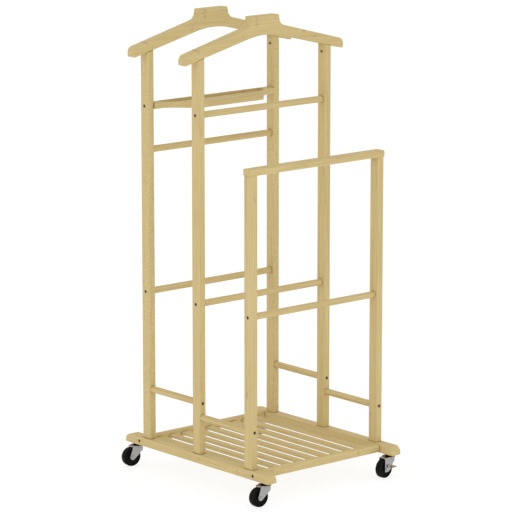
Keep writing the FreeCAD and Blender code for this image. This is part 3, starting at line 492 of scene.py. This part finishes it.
# %% Zinc, black plastic and dark steel
def plain_finish(name, colour, metallic, roughness, specular, relief):
    """A finish whose roughness wanders between two values, over a very low relief."""
    finish = bpy.data.materials.new(name)
    finish.use_nodes = True
    tree = finish.node_tree
    surface = tree.nodes["Principled BSDF"]
    surface.inputs["Base Color"].default_value = (*colour, 1)
    surface.inputs["Metallic"].default_value = metallic
    surface.inputs["Specular IOR Level"].default_value = specular
    place = add_node(tree, "ShaderNodeTexCoord", "place")
    speckle = add_node(tree, "ShaderNodeTexNoise", "speckle")
    speckle.inputs["Scale"].default_value = 700
    speckle.inputs["Detail"].default_value = 3
    tree.links.new(place.outputs["Object"], speckle.inputs["Vector"])
    uneven = add_node(tree, "ShaderNodeMapRange", "uneven gloss")
    uneven.inputs["To Min"].default_value = roughness[0]
    uneven.inputs["To Max"].default_value = roughness[1]
    tree.links.new(speckle.outputs["Fac"], uneven.inputs["Value"])
    tree.links.new(uneven.outputs["Result"], surface.inputs["Roughness"])
    bump = add_node(tree, "ShaderNodeBump", "very low relief")
    bump.inputs["Strength"].default_value = relief
    bump.inputs["Distance"].default_value = 0.0001
    tree.links.new(speckle.outputs["Fac"], bump.inputs["Height"])
    tree.links.new(bump.outputs["Normal"], surface.inputs["Normal"])
    return finish


ZINC = (0.385, 0.38, 0.375)
# the levers' zinc is tinted brown, a painted reflection of the wood above them
LEVER_ZINC_REFLECTING_WOOD = (0.29, 0.24, 0.175)
PLASTIC_BLACK = (0.0045, 0.0045, 0.0042)
SCREW_BROWN = (0.15, 0.115, 0.09)

zinc = plain_finish("zinc", ZINC, 1.0, (0.22, 0.40), 0.5, 0.15)
lever_zinc = plain_finish("lever_zinc", LEVER_ZINC_REFLECTING_WOOD, 1.0, (0.25, 0.45), 0.5, 0.15)
black_plastic = plain_finish("black_plastic", PLASTIC_BLACK, 0.0, (0.35, 0.60), 0.06, 0.25)
dark_steel = plain_finish("dark_steel", SCREW_BROWN, 1.0, (0.30, 0.50), 0.5, 0.15)
for name, part in frame["nodes"].items():
    finish = None
    if name.endswith("_wheel"):
        finish = black_plastic
    elif name.startswith("brake_lever_"):
        finish = lever_zinc
    elif name.startswith(("caster_", "brake_")):
        finish = zinc
    elif name.endswith("_screws"):
        finish = dark_steel
    if finish:
        part.data.materials.clear()
        part.data.materials.append(finish)
print("four finishes for the bought-in parts")

# %% [markdown]
# The plating is painted a dark brown shade on top of the fork, round the race and where one plate
# lies on another, wherever those places are closed in. The same trick as in the wood's corners
# finds those places, with a longer reach.

# %% Painted shade round the swivels
SWIVEL_SHADE_REACH = 0.010
# the brown of the painted shade on the plating
SWIVEL_SHADE_BROWN = (0.10, 0.078, 0.055, 1)

plating = zinc.node_tree
close_by = add_node(plating, "ShaderNodeAmbientOcclusion", "how open it is")
close_by.inputs["Distance"].default_value = SWIVEL_SHADE_REACH
close_by.samples = 8
shaded_share = add_node(plating, "ShaderNodeMapRange", "how greasy it is")
shaded_share.inputs["From Min"].default_value = 0.85
shaded_share.inputs["From Max"].default_value = 0.40
plating.links.new(close_by.outputs["AO"], shaded_share.inputs["Value"])
# painted shade: closed-in places on the plating are mixed towards brown
swivel_shade = add_node(plating, "ShaderNodeMix", "old grease", data_type="RGBA")
swivel_shade.inputs["A"].default_value = (*ZINC, 1)
swivel_shade.inputs["B"].default_value = SWIVEL_SHADE_BROWN
plating.links.new(shaded_share.outputs["Result"], swivel_shade.inputs["Factor"])
plating.links.new(swivel_shade.outputs["Result"], plating.nodes["Principled BSDF"].inputs["Base Color"])
print("painted shade reaches", SWIVEL_SHADE_REACH * 1000, "mm")

# %% [markdown]
# ## Working on a mesh by hand, in code
#
# An operator acts on whatever is selected, and the construction arrives selected. So the first
# helper deselects everything and picks one piece, and the second picks faces, edges or points
# inside it by their place. That is what a hand with a mouse does, only repeatable.

# %% Picking a piece, and picking inside it
KINDS = {"VERT": "verts", "EDGE": "edges", "FACE": "faces"}


def only(piece):
    """Makes this piece the selected and active one, and deselects everything else."""
    bpy.ops.object.select_all(action="DESELECT")
    piece.select_set(True)
    bpy.context.view_layer.objects.active = piece


def pick(kind, test):
    """In edit mode, selects the points, edges or faces whose middle and normal pass the test."""
    bpy.ops.mesh.select_mode(type=kind)
    bpy.ops.mesh.select_all(action="DESELECT")
    mesh = bmesh.from_edit_mesh(bpy.context.object.data)
    for element in getattr(mesh, KINDS[kind]):
        if kind == "VERT":
            middle, normal = element.co, element.normal
        elif kind == "EDGE":
            middle, normal = (element.verts[0].co + element.verts[1].co) / 2, None
        else:
            middle, normal = element.calc_center_median(), element.normal
        element.select_set(bool(test(middle, normal)))
    mesh.select_flush_mode()
    bmesh.update_edit_mesh(bpy.context.object.data)
    return sum(element.select for element in getattr(mesh, KINDS[kind]))


def smooth(piece, degrees=35):
    """Shades a piece smooth except at edges sharper than this."""
    bpy.ops.object.mode_set(mode="OBJECT")
    only(piece)
    bpy.ops.object.shade_smooth_by_angle(angle=math.radians(degrees))


print("pieces can be picked")

# %% [markdown]
# ## The wheels
#
# Each wheel is one moulding: a tread with rounded shoulders, a side that is sunk between the rim
# and the hub, a hub that keeps it off the fork, and the fine seam that the two halves of a mould
# leave round the tread. It could be spun from a profile. A cylinder whose two ends are inset and
# pushed in and out keeps the same ring of faces all the way to the bore, so both sides are made
# in the same strokes. It is made lying on the world's Y axis, with its middle at the origin.

# %% The cylinder, with both sides sunk
wheel_low, wheel_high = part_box("caster_front_left_wheel")
SEAM_HEIGHT = 0.00012
WHEEL_RADIUS = (wheel_high.z - wheel_low.z) / 2 - SEAM_HEIGHT
WHEEL_WIDTH = 0.0136
RIM_RADIUS = 0.0182
HUB_RADIUS = 0.0042
BORE_RADIUS = 0.00255
SUNK = 0.0020
HUB_STANDS = 0.0023
SLANT = 0.0006

bpy.ops.object.select_all(action="DESELECT")
bpy.ops.mesh.primitive_cylinder_add(vertices=72, radius=WHEEL_RADIUS, depth=WHEEL_WIDTH,
                                    end_fill_type="NGON", location=(0, 0, 0),
                                    rotation=(math.pi / 2, 0, 0))
wheel = bpy.context.object
wheel.name = "moulded_wheel"
bpy.ops.object.transform_apply(location=True, rotation=True, scale=True)
bpy.ops.object.mode_set(mode="EDIT")
pick("FACE", lambda middle, normal: abs(normal.y) > 0.9)
bpy.ops.mesh.inset(thickness=WHEEL_RADIUS - RIM_RADIUS, depth=0)
bpy.ops.mesh.inset(thickness=SLANT, depth=-SUNK)
bpy.ops.mesh.inset(thickness=RIM_RADIUS - HUB_RADIUS - SLANT * 2, depth=0)
bpy.ops.mesh.inset(thickness=SLANT, depth=HUB_STANDS)
bpy.ops.mesh.inset(thickness=HUB_RADIUS - BORE_RADIUS, depth=0)
bpy.ops.mesh.delete(type="FACE")
print("a wheel", round(WHEEL_RADIUS * 2000, 1), "mm across")

# %% The bore, the shoulders and the seam
SHOULDER = 0.0016
SEAM = 0.0003


def from_axle(point):
    """How far a point is from the wheel's own axle."""
    return math.hypot(point.x, point.z)


pick("EDGE", lambda middle, _: from_axle(middle) < BORE_RADIUS + 0.0001)
bpy.ops.mesh.bridge_edge_loops()
pick("EDGE", lambda middle, _: from_axle(middle) > WHEEL_RADIUS * 0.99
     and abs(middle.y) > WHEEL_WIDTH * 0.49)
bpy.ops.mesh.bevel(offset=SHOULDER, segments=4, affect="EDGES")
pick("EDGE", lambda middle, _: abs(from_axle(middle) - RIM_RADIUS) < 0.0001
     and abs(middle.y) > WHEEL_WIDTH * 0.49)
bpy.ops.mesh.bevel(offset=SLANT / 2, segments=2, affect="EDGES")
bpy.ops.mesh.select_all(action="SELECT")
bpy.ops.mesh.bisect(plane_co=(0, 0, 0), plane_no=(0, 1, 0))
pick("EDGE", lambda middle, _: abs(middle.y) < 0.0001 and from_axle(middle) > RIM_RADIUS)
bpy.ops.mesh.bevel(offset=SEAM, segments=2, affect="EDGES")
pick("VERT", lambda point, _: abs(point.y) < SEAM / 10 and from_axle(point) > RIM_RADIUS)
bpy.ops.mesh.select_mode(type="VERT")
bpy.ops.transform.shrink_fatten(value=SEAM_HEIGHT)
bpy.ops.mesh.select_all(action="SELECT")
bpy.ops.mesh.normals_make_consistent(inside=False)
smooth(wheel)
print("the wheel has", len(wheel.data.polygons), "faces")

# %% [markdown]
# A thin grey line is painted along the rounded shoulders of the tread as a highlight, and that
# line is what shows the shape of an all-black wheel. The line follows the wheel as it turns, so it
# is stored on the wheel itself: each point carries a number that says how strong its painted
# highlight is, and the plastic reads it.

# %% A painted highlight on the shoulders
# a painted highlight: the grey of the line along the tread's shoulders
SHOULDER_HIGHLIGHT_GREY = (0.040, 0.040, 0.038, 1)
SHOULDER_HIGHLIGHT_WIDTH = 0.0009

worn = wheel.data.attributes.new("worn", "FLOAT", "POINT")
for point in wheel.data.vertices:
    past_rim = from_axle(point.co) - (WHEEL_RADIUS - SHOULDER)
    past_side = abs(point.co.y) - (WHEEL_WIDTH / 2 - SHOULDER)
    lean = abs(past_rim - past_side) if min(past_rim, past_side) > -SEAM else SHOULDER
    worn.data[point.index].value = max(0.0, 1.0 - lean / SHOULDER_HIGHLIGHT_WIDTH)
plastic = black_plastic.node_tree
highlight_attribute = add_node(plastic, "ShaderNodeAttribute", "worn", attribute_name="worn")
patchy = add_node(plastic, "ShaderNodeMath", "patchy", operation="MULTIPLY")
plastic.links.new(highlight_attribute.outputs["Fac"], patchy.inputs[0])
plastic.links.new(plastic.nodes["speckle"].outputs["Fac"], patchy.inputs[1])
# the painted highlight is mixed into the black, broken up by the speckle
grey = add_node(plastic, "ShaderNodeMix", "worn grey", data_type="RGBA")
grey.inputs["A"].default_value = (*PLASTIC_BLACK, 1)
grey.inputs["B"].default_value = SHOULDER_HIGHLIGHT_GREY
plastic.links.new(patchy.outputs[0], grey.inputs["Factor"])
plastic.links.new(grey.outputs["Result"], plastic.nodes["Principled BSDF"].inputs["Base Color"])
print("worn points:", sum(value.value > 0 for value in worn.data))

# %% [markdown]
# The four wheels are the same moulding, each on its own axle. A joint says where the axle is and
# which way it lies, so a copy is turned and moved in its own mesh, and rides on its wheel's body.

# %% A wheel on every axle
def placed_copy(original, name, joint_name):
    """A copy with its own mesh, moved from the origin to a joint and turned to lie on its axis."""
    joint = joints[joint_name]
    axis = Vector(joint["axis"])
    turn = Matrix.Rotation(math.atan2(-axis.x, axis.y), 4, "Z")
    piece = bpy.data.objects.new(name, original.data.copy())
    piece.data.name = name
    piece.data.transform(Matrix.Translation(Vector(joint["pos_m"])) @ turn)
    scene.collection.objects.link(piece)
    return piece


CORNERS = ("front_left", "front_right", "back_left", "back_right")
wheel.data.materials.clear()
wheel.data.materials.append(black_plastic)
for corner in CORNERS:
    piece = placed_copy(wheel, f"wheel_{corner}", f"wheel_{corner}_spin")
    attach(piece, f"wheel_{corner}")
    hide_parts(f"caster_{corner}_wheel")
bpy.data.objects.remove(wheel)
print("wheels on", len(CORNERS), "axles")

# %% [markdown]
# ## Forks and brake levers
#
# A fork is cut and bent from sheet, and a press leaves every cut edge slightly rolled over. Those
# narrow rounded edges catch the light and are most of what says "sheet metal". The construction
# has the right shape with sharp edges, so it isn't modelled again: its mesh is copied, merged,
# cleared of the lines between its triangles, and bevelled. A bevel that may not overlap shrinks
# to nothing here, because a small hole has very short edges. So only outer corners are bevelled,
# at full width, and the rims under the rivets, which nobody sees, are left sharp.

# %% Rolling over the edges of pressed plate
FLAT_WITHIN = math.radians(3)
SHARP_FROM = math.radians(75)
RIVET_RIM = 0.0026
SAME_POINT = 0.000002
MERGE_WITHIN = 0.00002


def from_pin(point, joint_name):
    """How far a point is from the line that a joint turns about."""
    away = point - Vector(joints[joint_name]["pos_m"])
    axis = Vector(joints[joint_name]["axis"])
    return (away - axis * away.dot(axis)).length


def rolled_over(node_name, edge_width, pins, finish):
    """A copy of a pressed part whose outer edges are rolled over, except round its pins."""
    piece = bpy.data.objects.new("pressed_plate", frame["nodes"][node_name].data.copy())
    scene.collection.objects.link(piece)
    only(piece)
    bpy.ops.object.mode_set(mode="EDIT")
    bpy.ops.mesh.select_all(action="SELECT")
    bpy.ops.mesh.remove_doubles(threshold=SAME_POINT)
    bpy.ops.mesh.dissolve_limited(angle_limit=FLAT_WITHIN)
    bpy.ops.mesh.select_mode(type="EDGE")
    bpy.ops.mesh.select_all(action="DESELECT")
    mesh = bmesh.from_edit_mesh(piece.data)
    for edge in mesh.edges:
        middle = (edge.verts[0].co + edge.verts[1].co) / 2
        at_pin = any(from_pin(middle, pin) < RIVET_RIM for pin in pins)
        outer = edge.is_manifold and edge.calc_face_angle_signed(0) > SHARP_FROM
        edge.select_set(outer and not at_pin)
    mesh.select_flush_mode()
    bmesh.update_edit_mesh(piece.data)
    bpy.ops.mesh.bevel(offset=edge_width, segments=2, affect="EDGES", clamp_overlap=False)
    # where a rolled edge runs into an inner corner, its points all but coincide
    bpy.ops.mesh.select_all(action="SELECT")
    bpy.ops.mesh.remove_doubles(threshold=MERGE_WITHIN)
    bpy.ops.mesh.dissolve_degenerate(threshold=MERGE_WITHIN)
    smooth(piece)
    # the flats keep their own direction, so the light doesn't run over them from the edges
    flats = piece.modifiers.new("flats stay flat", "WEIGHTED_NORMAL")
    flats.keep_sharp = True
    bpy.ops.object.modifier_apply(modifier=flats.name)
    piece.data.materials.clear()
    piece.data.materials.append(finish)
    return piece


print("plate edges roll over from", round(math.degrees(SHARP_FROM)), "degrees")

# %% [markdown]
# The two plain forks are the same pressing, and so are the two braked forks and the two levers. So
# each is finished once and copied to its other caster. A swivel's place and the way that its axle
# lies make a matrix, and the way from one caster to another is one matrix after the other undone.
# Each copy is compared with the part that it replaces.

# %% The same pressings on the other casters
def caster_place(corner):
    """Where a caster stands and which way it is turned."""
    axis = Vector(joints[f"wheel_{corner}_spin"]["axis"])
    turn = Matrix.Rotation(math.atan2(-axis.x, axis.y), 4, "Z")
    return Matrix.Translation(Vector(joints[f"swivel_{corner}_turn"]["pos_m"])) @ turn


# piece, the part it replaces, its body, how wide its edges roll, its finish, its casters
PRESSINGS = [
    ("fork", "caster_{}_fork", "swivel_{}", 0.00020, zinc, ("front_left", "back_left")),
    ("fork", "caster_{}_fork", "swivel_{}", 0.00015, zinc, ("front_right", "back_right")),
    ("lever", "brake_lever_{}", "brake_{}", 0.00015, lever_zinc, ("front_right", "back_right")),
]
for kind, part, body, edge_width, finish, corners in PRESSINGS:
    first = corners[0]
    pins = [f"wheel_{first}_spin"]
    if f"brake_{first}_press" in joints:
        pins.append(f"brake_{first}_press")
    original = rolled_over(part.format(first), edge_width, pins, finish)
    for corner in corners:
        piece = bpy.data.objects.new(f"{kind}_{corner}", original.data.copy())
        piece.data.name = piece.name
        piece.data.transform(caster_place(corner) @ caster_place(first).inverted())
        scene.collection.objects.link(piece)
        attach(piece, body.format(corner))
        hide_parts(part.format(corner))
        low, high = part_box(part.format(corner))
        off = max(max(abs(low[axis] - min(point.co[axis] for point in piece.data.vertices)),
                      abs(high[axis] - max(point.co[axis] for point in piece.data.vertices)))
                  for axis in range(3))
        print(piece.name, "fits its part within", round(off * 1000, 3), "mm")
    bpy.data.objects.remove(original)

# %% Measuring the finished stand
low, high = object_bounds()
print("the finished stand measures", [round(size, 3) for size in high - low], "metres")
